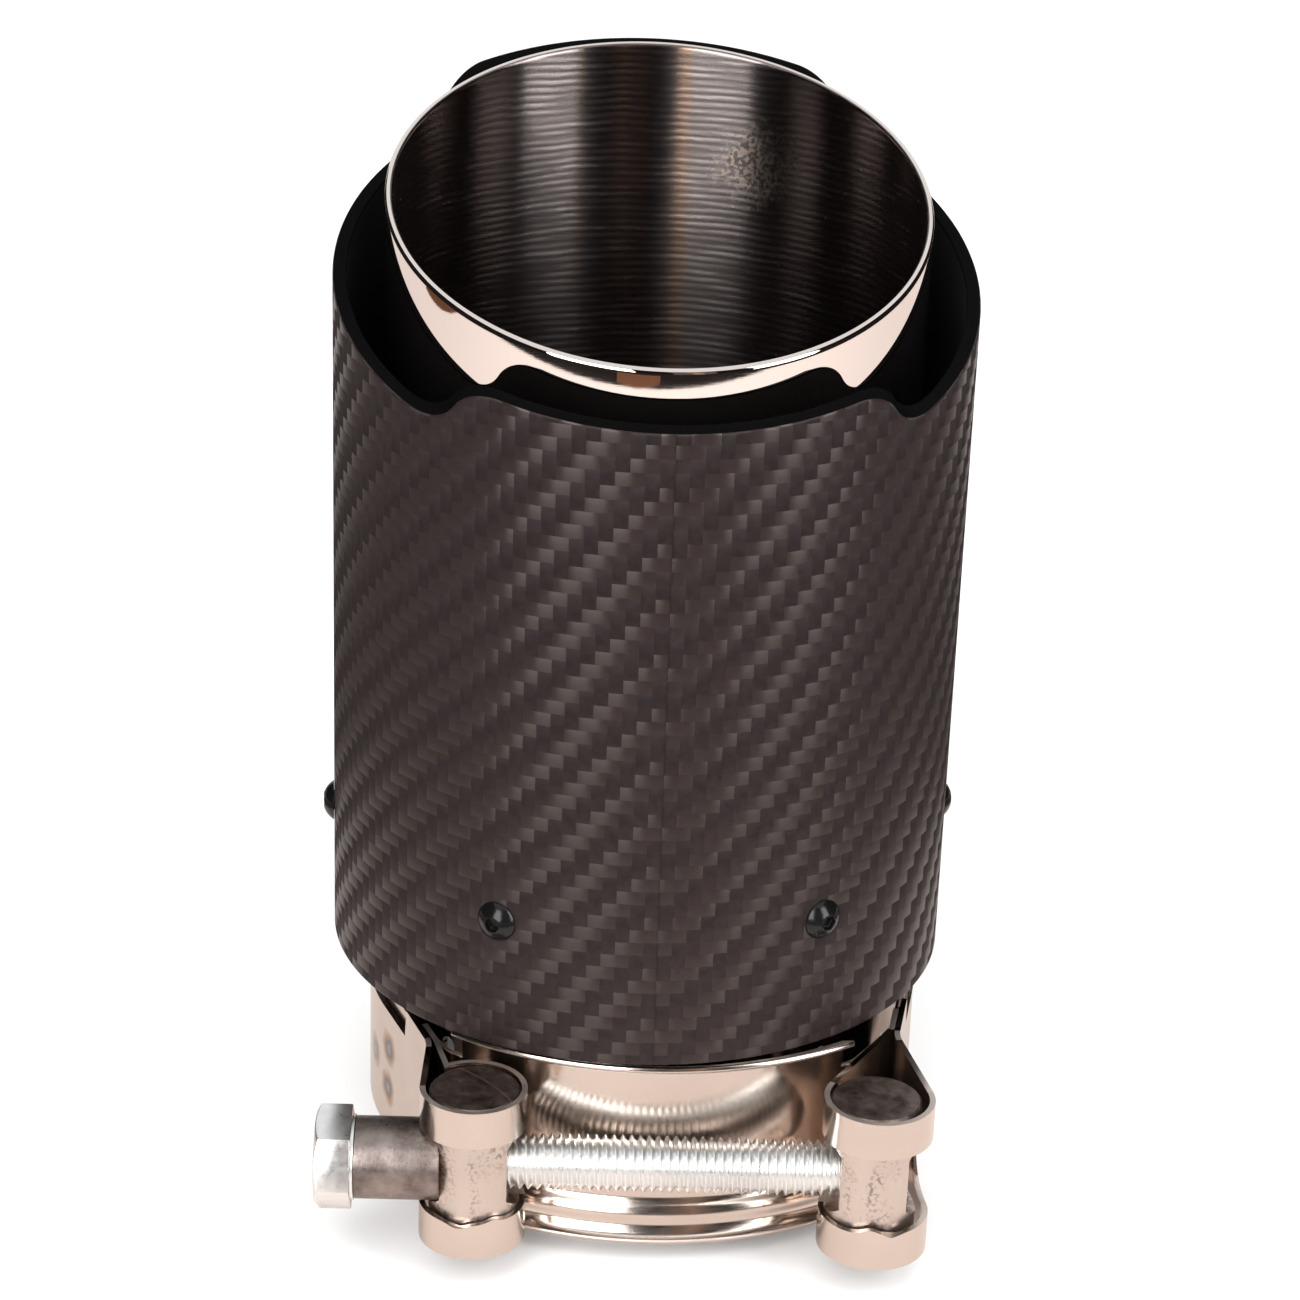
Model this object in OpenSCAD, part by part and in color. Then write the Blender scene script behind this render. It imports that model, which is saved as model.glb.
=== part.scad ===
// Exhaust tip: a carbon fibre sleeve screwed round a straight steel tube,
// with a two-barrel bolt clamp on the slotted inlet end.
// The origin is the centre of the tube's inlet end, and +Z runs to the outlet.

/* [Inner tube] */
// Outer diameter of the steel tube
tube_d = 76.2; // [60:0.1:95]
// Wall of the steel tube
tube_wall = 1.2; // [0.8:0.1:2]
// Height of the tube's slanted mouth on the tube's axis
tube_h = 145.5; // [130:0.5:165]
// Number of slots that let the clamp squeeze the inlet
slot_count = 4; // [2:1:8]
// Width of an inlet slot
slot_w = 2.5; // [1.5:0.1:4]
// Length of an inlet slot
slot_l = 27; // [15:0.5:29]

/* [Carbon sleeve] */
// Clear gap between the tube and the sleeve
sleeve_gap = 5.2; // [5:0.1:8]
// Wall of the sleeve
sleeve_wall = 2; // [1.2:0.1:2.2]
// Height of the sleeve's lower edge above the inlet end
sleeve_z = 33.5; // [33.5:0.1:40]
// Height of the sleeve's slanted mouth on the axis, at the two tongues
sleeve_h = 141.9; // [125:0.5:150]
// Slope of both mouths
slash = 19; // [0:0.5:30]
// Half width of the tongue at the front and at the back
tongue_half = 23.3; // [15:0.1:26]
// Width of the S curve beside a tongue
scallop_w = 11.9; // [8:0.1:16]
// Drop of the rim from the tongues to the sides, square to the slope
scallop_drop = 7.1; // [3:0.1:10]

/* [Screws and mounting ring] */
// Number of screws round the sleeve
screw_count = 6; // [3:1:8]
// Height of the screws above the sleeve's lower edge
screw_up = 19.6; // [16:0.1:30]
// Thread diameter of the screws
screw_d = 3; // [2:0.1:3.5]
// Length of a screw under its head
screw_l = 6; // [5.4:0.1:6.4]
// Diameter of the button head
button_d = 5.9; // [5.2:0.1:7]
// Height of the button head
button_h = 1.65; // [1.2:0.05:2.2]
// Width across the flats of the hexagon socket
socket_af = 2; // [1.5:0.1:2.5]
// Depth of the hexagon socket
socket_deep = 1.05; // [0.6:0.05:1.2]
// Width across the flats of the weld nuts
nut_af = 5.5; // [5:0.1:7]
// Height of the weld nuts
nut_h = 2.2; // [1.8:0.1:2.4]
// Sheet of the mounting ring
hoop_t = 1.5; // [1:0.1:1.6]
// Height of the mounting ring's outer wall
hoop_h = 14; // [12:0.5:20]
// Height of the collar that is welded to the tube
collar_h = 4; // [3:0.1:4.2]

/* [Clamp band] */
// Turn of the clamp about the tube, seen from above
clamp_turn = -4; // [-30:0.5:30]
// Height of the clamp's middle plane above the inlet end
clamp_z = 18.15; // [17:0.05:18.4]
// Play between the tube and the open band, on the radius
band_play = 1.4; // [1.3:0.05:1.9]
// Sheet of the band and the bridge
band_t = 0.85; // [0.6:0.05:1]
// Height of the flat part of the band, between its flared edges
band_flat = 18.4; // [16:0.1:19]
// Radius of the flared edge
flare_r = 5.4; // [4:0.1:5.5]
// Angle that the flared edge turns outwards
flare_turn = 63; // [30:1:65]
// Height of the strap ends that make the loops
strap_h = 23.4; // [20:0.1:24]
// Angle below the side where the left strap leaves the band
left_leave = 22; // [15:0.5:26]
// Angle below the side where the right strap leaves the band
right_leave = 10; // [6:0.5:14]
// Distance from the bolt's axis back to the end of the flared edges on the left
left_back = 17.1; // [16:0.1:22]
// Distance from the bolt's axis back to the end of the flared edges on the right
right_back = 25.2; // [23:0.1:29]
// Play between the two layers of a folded strap
fold_gap = 0.05; // [0.03:0.01:0.1]
// Angle past the side where the folded strap ends
fold_end = 9; // [4:1:20]
// Diameter of a spot weld
weld_d = 3.4; // [2:0.1:4]

/* [Loops and trunnions] */
// Diameter of both trunnions
trunnion_d = 12.8; // [12:0.1:13]
// Height of both trunnions
trunnion_h = 23; // [20:0.1:23.2]
// Distance of the trunnions' axes in front of the tube's wall
trunnion_off = 7.85; // [7.4:0.05:8.9]
// Distance of the left trunnion's axis inwards from its strap's knee
left_in = 6.12; // [5.4:0.01:6.9]
// Distance of the right trunnion's axis inwards from its strap's knee
right_in = 3.87; // [3.2:0.01:4.6]
// Play of the trunnion in the left loop, on the radius
left_play = 0.3; // [0.2:0.05:0.4]
// Play of the trunnion in the right loop, on the radius
right_play = 0.55; // [0.4:0.05:0.7]
// Height of the window in each loop
window_h = 12.2; // [12:0.1:14]
// Distance of the spot faces from a trunnion's axis
seat_off = 4.7; // [4.4:0.1:5.5]
// Diameter of the spot faces
seat_d = 12; // [11.8:0.1:13]

/* [Bolt and spacer] */
// Thread diameter of the bolt
bolt_d = 8; // [6:0.1:8.4]
// Distance that the bolt ends past the right trunnion's axis
bolt_past = 2.3; // [0:0.1:5]
// Width across the flats of the bolt's head
head_af = 13; // [12:0.1:14]
// Height of the bolt's head with its washer face
head_h = 5.5; // [4:0.1:6.5]
// Turn of the hexagon head from one flat on top
head_turn = 11.7; // [0:0.1:60]
// Outer diameter of the spacer
spacer_d = 11.6; // [10.5:0.1:11.8]
// Length of the spacer
spacer_l = 12; // [11.5:0.1:14]

/* [Bridge] */
// Outer radius of the bridge, over the tube's
bridge_over = 8.9; // [7.5:0.1:11]
// Distance of the bridge's outer face in front of the tube's wall
bridge_off = 3.4; // [2.9:0.1:3.7]
// Distance of the bridge's middle to the left of the middle between the trunnions
bridge_shift = 3.2; // [2.7:0.1:3.7]
// Distance that each end of the bridge's flared part stops short of half the trunnions' distance
bridge_short = 0.95; // [0.9:0.05:4]
// Length of the tongues that slide inside the loops
tongue_l = 7; // [4:0.5:7.5]
// Slope of the tongues towards the tube, from the bolt's line
tongue_slope = 57; // [54:0.5:59]
// Height of the tongues
tongue_h = 18; // [12:0.5:18.4]

/* [Hidden] */
$fn = 96;
fit = 0.05;
tube_r = tube_d / 2;
sleeve_in_r = tube_r + sleeve_gap;
sleeve_r = sleeve_in_r + sleeve_wall;
screw_z = sleeve_z + screw_up;
hoop_r = sleeve_in_r - 0.1;
hoop_in_r = hoop_r - hoop_t;
hoop_z = screw_z - hoop_h / 2;
nut_corner = nut_af / sqrt(3);
nut_r = sqrt(hoop_in_r * hoop_in_r - nut_corner * nut_corner) - 0.02;
scallop_half = atan(scallop_drop / scallop_w);
scallop_r = scallop_w / (2 * sin(2 * scallop_half));
// The band's centre lies off the tube's axis, because the loose band hangs on one side.
band_r = tube_r + band_play;
band_x = band_play - 0.1;
band_out = band_r + band_t;
fold_in = band_out + fold_gap;
fold_mid = fold_in + band_t / 2;
fold_ease = 1.5;
// The straps and the bridge's tongues are drawn a little thinner than the flared sheet and start inside it.
thin = band_t - 0.04;
lap = 0.5;
band_mid = band_r + band_t / 2;
bolt_y = -tube_r - trunnion_off;
left_straight = (-bolt_y - left_back - band_mid * sin(left_leave)) / cos(left_leave);
right_straight = (-bolt_y - right_back - band_mid * sin(right_leave)) / cos(right_leave);
// The knees where the straps' inner layers turn in to their loops
left_knee = left_start(band_mid) + (left_straight + 4.5) * left_dir();
right_knee = right_start(band_mid) + (right_straight + 3.5) * right_dir();
left_x = left_knee.x + left_in;
right_x = right_knee.x - right_in;
left_loop_r = trunnion_d / 2 + left_play + band_t / 2;
right_loop_r = trunnion_d / 2 + right_play + band_t / 2;
left_loop = [left_x - left_play + 0.1, bolt_y];
right_loop = [right_x + right_play - 0.1, bolt_y];
head_x = left_x - seat_off - spacer_l;
bend_r = 2.2;
bolt_l = right_x - head_x + bolt_past;
bridge_r = tube_r + bridge_over;
bridge_mid = bridge_r - band_t / 2;
bridge_x = (left_x + right_x) / 2 - bridge_shift;
bridge_y = bridge_over - bridge_off;
bridge_half = asin(((right_x - left_x) / 2 - bridge_short) / bridge_mid);
SCREWS = [for (i = [1 : screw_count]) str("screw_", i)];
NUTS = [for (i = [1 : screw_count]) str("weld_nut_", i)];

// A point at a distance and an angle from a centre
function polar(centre, r, a) = centre + r * [cos(a), sin(a)];
// A unit vector, its left normal and its angle
function unit(v) = v / norm(v);
function left_of(v) = [-v.y, v.x];
function angle_of(v) = atan2(v.y, v.x);
// Points of an arc round a centre, from one angle to another
function arc(centre, r, from, to, step = 7.5) =
    let (n = max(1, ceil(abs(to - from) / step)))
    [for (i = [0 : n]) polar(centre, r, from + (to - from) * i / n)];
// Points of a corner rounded with a radius, between the points before and after it
function corner(before, at, after, r) =
    let (u = unit(at - before), v = unit(after - at), turn = angle_of([u * v, left_of(u) * v]),
        back = r * tan(abs(turn) / 2), side = sign(turn),
        centre = at - back * u + side * r * left_of(u), start = angle_of(-side * left_of(u)))
    arc(centre, r, start, start + turn);
// Where a line through two points comes nearest to a point, and where a line
// that leaves a point is tangent to a circle on its left (side 1) or right (side -1)
function tangent_at(from, centre, r, side) =
    let (d = centre - from, a = asin(r / norm(d)))
    from + sqrt(d * d - r * r) * polar([0, 0], 1, angle_of(d) - side * a);
// The points of a path moved sideways
function beside(path, off) =
    [for (i = [0 : len(path) - 1])
        let (u = unit(path[min(i + 1, len(path) - 1)] - path[max(i - 1, 0)]))
        path[i] + off * left_of(u)];

// A closed strip of sheet along a path, seen from above
module strip(path, t) {
    polygon(concat(beside(path, t / 2), [for (i = [len(path) - 1 : -1 : 0]) beside(path, -t / 2)[i]]));
}

// A plain wall of revolution
module pipe(r_out, r_in, h) {
    difference() {
        cylinder(r = r_out, h = h);
        translate([0, 0, -1]) cylinder(r = r_in, h = h + 2);
    }
}

// A prism that removes what lies above a slope, with a profile across the slope
module slope_cut(z_mid) {
    reach = 3 * sleeve_r;
    translate([0, 0, z_mid]) rotate([slash, 0, 0]) translate([0, reach, 0])
        rotate([90, 0, 0]) linear_extrude(2 * reach) children();
}

// A hexagonal prism on the Z axis
module hex_prism(af, h) {
    cylinder(d = 2 * af / sqrt(3), h = h, $fn = 6);
}

// Places its children at a screw, with -Z pointing at the tube's axis
module at_screw(i, r) {
    a = -90 + (i - 0.5) * 360 / screw_count;
    translate([0, 0, screw_z]) rotate([0, 0, a]) translate([r, 0, 0]) rotate([0, 90, 0]) children();
}

// The S curve from a tongue down to the side, as points across the slope
function scallop_curve() =
    concat(arc([tongue_half, -scallop_r], scallop_r, 90, 90 - 2 * scallop_half, 4),
        arc([tongue_half + scallop_w, scallop_r - scallop_drop], scallop_r,
            270 - 2 * scallop_half + 4, 270, 4));

module scalloped_profile() {
    reach = 3 * sleeve_r;
    curve = scallop_curve();
    polygon(concat([[-reach, reach], [-reach, -scallop_drop]],
        [for (i = [len(curve) - 1 : -1 : 0]) [-curve[i].x, curve[i].y]], curve,
        [[reach, -scallop_drop], [reach, reach]]));
}

module carbon_sleeve() {
    color([0.16, 0.15, 0.15]) difference() {
        translate([0, 0, sleeve_z]) pipe(sleeve_r, sleeve_in_r, sleeve_h);
        slope_cut(sleeve_h) scalloped_profile();
        for (i = [1 : screw_count])
            at_screw(i, sleeve_in_r - 1) cylinder(d = screw_d + 4 * fit, h = sleeve_wall + 2);
    }
}

module inner_tube() {
    reach = 3 * sleeve_r;
    color([0.85, 0.82, 0.80]) difference() {
        pipe(tube_r, tube_r - tube_wall, tube_h + tube_d);
        slope_cut(tube_h) translate([-reach, 0]) square([2 * reach, reach]);
        for (i = [0 : slot_count - 1])
            rotate([0, 0, clamp_turn + (i + 0.5) * 360 / slot_count]) {
                translate([tube_r - tube_wall - 1, -slot_w / 2, -1])
                    cube([tube_wall + 2, slot_w, slot_l - slot_w / 2 + 1]);
                translate([tube_r - tube_wall - 1, 0, slot_l - slot_w / 2])
                    rotate([0, 90, 0]) cylinder(d = slot_w, h = tube_wall + 2);
            }
    }
}

// Hoop inside the sleeve, a web across the gap and a collar on the tube
module mounting_ring() {
    color([0.12, 0.12, 0.12]) difference() {
        union() {
            translate([0, 0, hoop_z]) pipe(hoop_r, hoop_in_r, hoop_h);
            translate([0, 0, hoop_z]) pipe(hoop_r, tube_r + fit, hoop_t);
            translate([0, 0, hoop_z]) pipe(tube_r + fit + hoop_t, tube_r + fit, collar_h);
        }
        for (i = [1 : screw_count])
            at_screw(i, hoop_in_r - 1) cylinder(d = screw_d + 4 * fit, h = hoop_t + 2);
    }
}

module weld_nut(i) {
    color([0.35, 0.35, 0.36]) at_screw(i, nut_r - nut_h) difference() {
        rotate([0, 0, 30]) hex_prism(nut_af, nut_h);
        translate([0, 0, -1]) cylinder(d = screw_d + 2 * fit, h = nut_h + 2);
    }
}

// Button head screw: a domed head with a hexagon socket on a plain shank
module screw(i) {
    dome_r = (button_d * button_d / 4 + button_h * button_h) / (2 * button_h);
    color([0.05, 0.05, 0.05]) at_screw(i, sleeve_r + fit) {
        difference() {
            intersection() {
                cylinder(d = button_d, h = button_h);
                translate([0, 0, button_h - dome_r]) sphere(r = dome_r);
            }
            translate([0, 0, button_h - socket_deep]) hex_prism(socket_af, button_h);
        }
        translate([0, 0, -screw_l]) cylinder(d = screw_d, h = screw_l + socket_deep / 4);
    }
}

// Everything on the clamp is drawn about its own middle plane
module on_clamp() {
    translate([0, 0, clamp_z]) rotate([0, 0, clamp_turn]) children();
}

// Section of flared sheet: a flat part with edges that curl away from the tube
module flared_section(r_in) {
    translate([r_in, -band_flat / 2]) square([band_t, band_flat]);
    for (s = [-1, 1])
        translate([r_in + band_t + flare_r, s * band_flat / 2]) intersection() {
            difference() {
                circle(r = flare_r + band_t);
                circle(r = flare_r);
            }
            polygon([[0, 0], for (p = arc([0, 0], 3 * flare_r, 180, 180 - s * flare_turn)) p]);
        }
}

// A straight run of the flared band that leaves it along the tangent at an angle
module flared_run(a, l, way) {
    translate([band_x, 0, 0]) rotate([0, 0, a])
        rotate([-90 * way, 0, 0]) scale([1, way, 1]) linear_extrude(l) flared_section(band_r);
}

// Round spot welds through both layers of a folded strap
module spot_welds(angles) {
    for (w = angles)
        translate([band_x, 0, w[1]]) rotate([0, 0, w[0]]) translate([band_r, 0, 0])
            rotate([0, 90, 0]) cylinder(d = weld_d, h = 2 * band_t + fold_gap);
}

// The window that the bolt passes through, open across the front of a loop
module loop_window(centre, r) {
    translate([centre.x - 3 * r, centre.y, 0]) rotate([0, 90, 0]) linear_extrude(6 * r) {
        translate([-window_h / 2, -2 * r]) square([window_h, 2 * r + 1]);
        translate([0, 1]) circle(d = window_h);
    }
}

function left_dir() = [sin(left_leave), -cos(left_leave)];
function right_dir() = [-sin(right_leave), -cos(right_leave)];
function left_start(r) = polar([band_x, 0], r, 180 + left_leave);
function right_start(r) = polar([band_x, 0], r, -right_leave);

// Left strap: inner layer to the back of the loop, round the trunnion and out again
function left_path() =
    let (d = left_dir(), near = left_start(fold_mid) + (left_straight + 4.5) * d,
        root = polar(left_loop, left_loop_r, 125),
        off = [left_loop.x - left_loop_r, left_loop.y])
    concat([left_start(band_mid) + (left_straight - lap) * d],
        corner(left_start(band_mid), left_knee, root, bend_r),
        arc(left_loop, left_loop_r, 125, -180),
        corner(off, [off.x, near.y - 0.4], near - 4 * d, bend_r),
        arc([band_x, 0], fold_mid, 180 + left_leave - fold_ease, 180 - fold_end, 3));

// Right strap: inner layer to the tube's side of the loop, round and out again
function right_path() =
    let (d = right_dir(), near = right_start(fold_mid) + (right_straight + 5) * d,
        on = tangent_at(right_knee, right_loop, right_loop_r, 1),
        off = tangent_at(near, right_loop, right_loop_r, -1),
        a_on = angle_of(on - right_loop), a_off = angle_of(off - right_loop))
    concat([right_start(band_mid) + (right_straight - lap) * d],
        corner(right_start(band_mid), right_knee, on, bend_r),
        arc(right_loop, right_loop_r, a_on, a_off + 360),
        corner(off, near, right_start(fold_mid), bend_r),
        arc([band_x, 0], fold_mid, fold_ease - right_leave, fold_end, 3));

module strap(path, centre, r) {
    difference() {
        translate([0, 0, -strap_h / 2]) linear_extrude(strap_h) strip(path, thin);
        loop_window(centre, r);
    }
}

module clamp_band() {
    color([0.80, 0.76, 0.73]) on_clamp() {
        translate([band_x, 0, 0]) rotate([0, 0, -right_leave])
            rotate_extrude(angle = 180 + right_leave + left_leave) flared_section(band_r);
        flared_run(180 + left_leave, left_straight, 1);
        flared_run(-right_leave, right_straight, -1);
        strap(left_path(), left_loop, left_loop_r);
        strap(right_path(), right_loop, right_loop_r);
        spot_welds([[206, 4], [206, -3.5], [197, 0.3], [-14, 4], [-14, -3.5], [-5, 0.3]]);
    }
}

// Bridge under the bolt: a flared middle and two flat tongues inside the loops
module clamp_bridge() {
    in_r = bridge_r - band_t;
    end = polar([0, 0], bridge_mid, -90 + bridge_half);
    knee = end + 2.5 * [cos(bridge_half), sin(bridge_half)];
    tip = knee + tongue_l * [cos(tongue_slope), sin(tongue_slope)];
    color([0.80, 0.76, 0.73]) on_clamp() translate([bridge_x, bridge_y, 0]) {
        rotate([0, 0, -90 - bridge_half]) rotate_extrude(angle = 2 * bridge_half) flared_section(in_r);
        for (s = [0, 1])
            mirror([s, 0, 0]) translate([0, 0, -tongue_h / 2]) linear_extrude(tongue_h)
                strip(concat([end - lap * unit(knee - end)], corner(end, knee, tip, 4), [tip]), thin);
    }
}

// Trunnion: an upright barrel with a spot face on each side of its cross hole
module trunnion(x, hole_d) {
    chamfer = 0.3;
    trim = 1.5 * trunnion_h;
    on_clamp() translate([x, bolt_y, 0]) difference() {
        intersection() {
            translate([0, 0, -trunnion_h / 2]) cylinder(d = trunnion_d, h = trunnion_h);
            for (s = [0, 1]) mirror([0, 0, s]) translate([0, 0, -trunnion_h])
                cylinder(r1 = trunnion_d / 2 + trim - chamfer, r2 = trunnion_d / 2 - chamfer, h = trim);
        }
        for (s = [0, 1]) mirror([s, 0, 0]) translate([seat_off, 0, 0])
            rotate([0, 90, 0]) cylinder(d = seat_d, h = trunnion_d);
        translate([-trunnion_d, 0, 0]) rotate([0, 90, 0]) cylinder(d = hole_d, h = 2 * trunnion_d);
    }
}

module plain_trunnion() {
    color([0.55, 0.50, 0.47]) trunnion(left_x, bolt_d + 0.4);
}

module threaded_trunnion() {
    color([0.55, 0.50, 0.47]) trunnion(right_x, bolt_d + 2 * fit);
}

module clamp_bolt() {
    washer_h = 0.4;
    tip = 1;
    crown_r = head_af / 2 - 0.3;
    color([0.72, 0.73, 0.75]) on_clamp() translate([head_x, bolt_y, 0]) rotate([0, 90, 0]) {
        translate([0, 0, -washer_h]) cylinder(d = head_af - 1, h = washer_h);
        intersection() {
            translate([0, 0, -head_h]) rotate([0, 0, head_turn]) hex_prism(head_af, head_h - washer_h);
            translate([0, 0, -head_h]) cylinder(r1 = crown_r, r2 = crown_r + 2 * head_h, h = head_h);
        }
        cylinder(d = bolt_d, h = bolt_l - tip);
        translate([0, 0, bolt_l - tip]) cylinder(r1 = bolt_d / 2, r2 = bolt_d / 2 - 0.8 * tip, h = tip);
    }
}

module bolt_spacer() {
    color([0.50, 0.46, 0.43]) on_clamp() translate([head_x, bolt_y, 0]) rotate([0, 90, 0])
        pipe(spacer_d / 2, bolt_d / 2 + 4 * fit, spacer_l);
}

carbon_sleeve();
inner_tube();
mounting_ring();
for (i = [1 : screw_count]) screw(i);
for (i = [1 : screw_count]) weld_nut(i);
clamp_band();
clamp_bridge();
plain_trunnion();
threaded_trunnion();
clamp_bolt();
bolt_spacer();
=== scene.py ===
# Exhaust tip: carbon fibre sleeve round a polished steel tube, with a bolt clamp on the inlet end.
# Everything is in metres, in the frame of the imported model. Sizes in the dictionaries are in millimetres.
import bpy
import bmesh
from math import asin, atan, atan2, ceil, cos, degrees, pi, radians, sin, sqrt, tan
from mathutils import Matrix, Vector


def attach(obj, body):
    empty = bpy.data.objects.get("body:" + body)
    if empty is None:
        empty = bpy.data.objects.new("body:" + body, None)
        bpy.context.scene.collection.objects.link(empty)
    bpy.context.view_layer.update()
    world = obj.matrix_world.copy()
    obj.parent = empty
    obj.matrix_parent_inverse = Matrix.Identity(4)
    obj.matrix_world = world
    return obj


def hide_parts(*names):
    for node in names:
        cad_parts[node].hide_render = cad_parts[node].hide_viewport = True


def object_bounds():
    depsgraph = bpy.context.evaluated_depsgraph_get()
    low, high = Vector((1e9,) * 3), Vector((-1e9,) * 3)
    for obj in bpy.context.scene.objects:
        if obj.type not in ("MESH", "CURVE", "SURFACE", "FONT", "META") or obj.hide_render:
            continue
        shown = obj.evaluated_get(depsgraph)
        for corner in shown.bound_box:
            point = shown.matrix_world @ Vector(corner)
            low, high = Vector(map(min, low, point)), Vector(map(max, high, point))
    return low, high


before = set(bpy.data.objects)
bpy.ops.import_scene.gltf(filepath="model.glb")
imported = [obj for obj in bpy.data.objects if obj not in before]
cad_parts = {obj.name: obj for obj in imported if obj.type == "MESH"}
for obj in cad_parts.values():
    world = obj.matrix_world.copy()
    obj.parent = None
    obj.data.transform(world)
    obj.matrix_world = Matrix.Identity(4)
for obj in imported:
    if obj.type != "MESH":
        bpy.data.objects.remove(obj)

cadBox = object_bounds()
mm = 0.001
print("frame loaded:", len(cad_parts), "nodes")

# Camera
camera = {
    "place": (-40.31, -456.11, 269.51),
    "heading": -5.15,  # degrees to the left of +Y
    "down": 22.783,
    "roll": 2.0246,
    "lens": 93.96,
    "sensor": 36.0,
}


def addCamera():
    lens = bpy.data.cameras.new("photoCamera")
    lens.lens = camera["lens"]
    lens.sensor_width = camera["sensor"]
    lens.clip_start = 10 * mm
    lens.clip_end = 20
    item = bpy.data.objects.new("photoCamera", lens)
    bpy.context.scene.collection.objects.link(item)
    turn = (Matrix.Rotation(radians(camera["heading"]), 4, "Z")
            @ Matrix.Rotation(radians(90 - camera["down"]), 4, "X")
            @ Matrix.Rotation(radians(camera["roll"]), 4, "Z"))
    item.matrix_world = Matrix.Translation(Vector(camera["place"]) * mm) @ turn
    bpy.context.scene.camera = item


addCamera()
print("camera placed")

# Studio
studio = {
    "facing": -95.05,  # azimuth from the tube's axis to the camera, degrees
    "boxes": {  # azimuth from there, distance, height of the middle, width, height, watts
        "leftSoftbox": (-22.5, 1250, 760, 720, 1400, 21),
        "rightSoftbox": (51, 1250, 760, 570, 1400, 16),
        "frontSoftbox": (0, 700, 1250, 900, 500, 5),
    },
    "floorSize": 12000, "floorColour": (0.95, 0.95, 0.95),
    "skyDiffuse": 0.85,
    # what only reflections see: a dark room with brown strips on its wall, and in it a beige table top with a
    # shaded ring and brown boxes at its edge
    "tableTop": {"radius": 477.5, "back": 50, "up": 0.6, "colour": (0.76, 0.68, 0.635)},
    "tableShade": {"near": 140, "far": 360, "up": 0.8, "colour": (0.10, 0.085, 0.08)},
    "brownBoxes": {
        "spans": ((-14.5, 2.5, 431, 468), (-108, -80, 475, 520)),  # azimuths and distances
        "up": 0.9, "colour": (0.115, 0.052, 0.028),
    },
    "wallStrips": ((8, 24, (0.15, 0.11, 0.095)), (15.5, 19.5, (0.42, 0.27, 0.19))),  # azimuths and colour
    "stripsInFront": 20,
    "room": {"away": 1700, "back": 2600, "tall": 2600, "up": 0.3, "colour": (0.012, 0.010, 0.009)},
}


def nodeTree(owner):
    owner.use_nodes = True
    owner.node_tree.nodes.clear()
    return owner.node_tree


def mattePaint(name, colour):
    paint = bpy.data.materials.new(name)
    tree = nodeTree(paint)
    matte = tree.nodes.new("ShaderNodeBsdfDiffuse")
    matte.inputs["Color"].default_value = (*colour, 1)
    out = tree.nodes.new("ShaderNodeOutputMaterial")
    tree.links.new(matte.outputs[0], out.inputs["Surface"])
    return paint


def madeVerts(made):
    return [g for g in made if isinstance(g, bmesh.types.BMVert)]


def addCard(name, colour, bm):
    bmesh.ops.rotate(bm, verts=bm.verts, matrix=Matrix.Rotation(radians(studio["facing"]), 3, "Z"))
    mesh = bpy.data.meshes.new(name)
    bm.to_mesh(mesh)
    bm.free()
    mesh.materials.append(mattePaint(name + "Paint", colour))
    card = bpy.data.objects.new(name, mesh)
    bpy.context.scene.collection.objects.link(card)
    card.visible_camera = False
    card.visible_diffuse = False
    card.visible_shadow = False
    card.visible_transmission = False


def addSky():
    # white at full strength where it is seen, and a little less where it only lights
    world = bpy.data.worlds.new("whiteStudio")
    bpy.context.scene.world = world
    tree = nodeTree(world)
    path = tree.nodes.new("ShaderNodeLightPath")
    seen = path.outputs["Is Camera Ray"]
    for ray in ("Is Glossy Ray", "Is Transmission Ray"):
        either = tree.nodes.new("ShaderNodeMath")
        either.operation = "MAXIMUM"
        tree.links.new(seen, either.inputs[0])
        tree.links.new(path.outputs[ray], either.inputs[1])
        seen = either.outputs[0]
    strength = tree.nodes.new("ShaderNodeMapRange")
    strength.inputs["To Min"].default_value = studio["skyDiffuse"]
    strength.inputs["To Max"].default_value = 1
    tree.links.new(seen, strength.inputs["Value"])
    sky = tree.nodes.new("ShaderNodeBackground")
    sky.inputs["Color"].default_value = (1, 1, 1, 1)
    tree.links.new(strength.outputs[0], sky.inputs["Strength"])
    out = tree.nodes.new("ShaderNodeOutputWorld")
    tree.links.new(sky.outputs[0], out.inputs["Surface"])


def addSoftboxes():
    for name, (side, away, up, wide, tall, watts) in studio["boxes"].items():
        lamp = bpy.data.lights.new(name, "AREA")
        lamp.shape = "RECTANGLE"
        lamp.size = wide * mm
        lamp.size_y = tall * mm
        lamp.energy = watts
        item = bpy.data.objects.new(name, lamp)
        item.visible_camera = False
        item.visible_glossy = name != "frontSoftbox"
        bpy.context.scene.collection.objects.link(item)
        azimuth = radians(studio["facing"] + side)
        item.location = Vector((cos(azimuth) * away, sin(azimuth) * away, up)) * mm
        aim = Vector((0, 0, (0 if side == 0 else up) * mm)) - item.location
        item.rotation_euler = aim.to_track_quat("-Z", "Y").to_euler()


def addFloor():
    bm = bmesh.new()
    bmesh.ops.create_grid(bm, x_segments=1, y_segments=1, size=studio["floorSize"] / 2 * mm)
    bmesh.ops.translate(bm, verts=bm.verts, vec=(0, 0, cadBox[0][2]))
    mesh = bpy.data.meshes.new("studioFloor")
    bm.to_mesh(mesh)
    bm.free()
    floor = bpy.data.objects.new("studioFloor", mesh)
    bpy.context.scene.collection.objects.link(floor)
    mesh.materials.append(mattePaint("floorPaint", studio["floorColour"]))


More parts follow.
